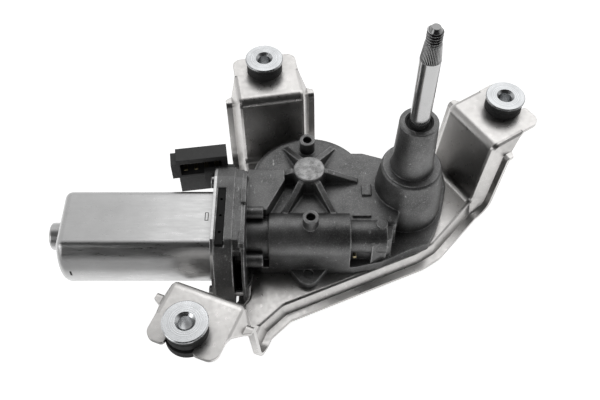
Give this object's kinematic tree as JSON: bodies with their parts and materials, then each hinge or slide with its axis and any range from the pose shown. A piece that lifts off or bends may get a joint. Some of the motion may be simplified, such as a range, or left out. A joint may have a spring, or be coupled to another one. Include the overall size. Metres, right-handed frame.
{
  "type": "rear wiper motor",
  "caption": "Rear wiper motor with worm gearbox, knurled upright spindle and a pressed steel bracket on rubber mounts.",
  "frame": {"origin": "on the output spindle's axis, in the plane of the top faces of the three mounting sleeves", "axes": "+Z along the spindle towards its threaded end, +X along the motor axis away from the motor can, +Y to the back of the pictured view"},
  "size_m": [0.2571, 0.1912, 0.1448],
  "materials": {
    "galvanised_sheet": "galvanised sheet, satin",
    "sleeve_steel": "zinc plated, turned",
    "rubber": "matte black",
    "cast_aluminium": "dark grainy casting",
    "can_steel": "brushed, zinc plated",
    "dark_steel": "oiled steel",
    "black_plastic": "satin black",
    "spindle_steel": "ground and polished",
    "plain_steel": "bare sheet",
    "bearing_bronze": "sintered bronze",
    "brass": "bare",
    "copper": "enamelled copper",
    "gear_plastic": "natural nylon",
    "magnet": "ferrite",
    "carbon": "carbon"
  },
  "bodies": {
    "frame": {"bottom_cover": "plain_steel", "bracket": "galvanised_sheet", "bracket_screws": "dark_steel", "brush_holder": "black_plastic", "brush_springs": "dark_steel", "can_screws": "dark_steel", "carbon_brushes": "carbon", "connector_housing": "black_plastic", "connector_terminals": "brass", "field_magnets": "magnet", "front_bearing": "bearing_bronze", "gear_housing": "cast_aluminium", "housing_gasket": "rubber", "left_grommet": "rubber", "left_sleeve": "sleeve_steel", "lower_bush": "bearing_bronze", "motor_can": "can_steel", "rear_bearing": "bearing_bronze", "rear_grommet": "rubber", "rear_sleeve": "sleeve_steel", "right_grommet": "rubber", "right_sleeve": "sleeve_steel", "side_plug": "brass", "spindle_seal": "rubber", "thrust_ball": "spindle_steel", "thrust_screw": "dark_steel", "upper_bush": "bearing_bronze", "wheel_axle": "spindle_steel", "wheel_ring": "dark_steel", "wheel_washer": "dark_steel", "worm_end_bearing": "bearing_bronze"},
    "armature": {"armature_shaft": "spindle_steel", "lamination_stack": "plain_steel", "armature_windings": "copper", "commutator": "copper"},
    "wheel": {"worm_wheel": "gear_plastic", "crank_plate": "plain_steel", "crank_pin": "spindle_steel", "crank_pin_ring": "dark_steel"},
    "rod": {"connecting_rod": "plain_steel"},
    "output": {"spindle": "spindle_steel", "spindle_lever": "plain_steel", "lever_pin": "spindle_steel", "spindle_ring": "dark_steel"}
  },
  "joints": [
    {"name": "armature_spin", "type": "hinge", "parent": "frame", "child": "armature", "pos_m": [-0.1, -0.0287, -0.0345], "axis": [1, 0, 0], "continuous": true},
    {"name": "wheel_spin", "type": "hinge", "parent": "frame", "child": "wheel", "pos_m": [-0.0532, 0.0028, -0.0345], "axis": [0, 0, 1], "continuous": true},
    {"name": "rod_spin", "type": "hinge", "parent": "wheel", "child": "rod", "pos_m": [-0.05436, -0.00461, -0.0445], "axis": [0, 0, 1], "continuous": true},
    {"name": "spindle_swing", "type": "hinge", "parent": "frame", "child": "output", "pos_m": [0, 0, 0], "axis": [0, 0, 1], "range_deg": [-48.5, 48.5]}
  ],
  "couplings": [
    {"joint": "wheel_spin", "follows": "armature_spin", "ratio": -0.018519},
    {"joint": "rod_spin", "follows": "armature_spin", "ratio": 0.018519}
  ]
}
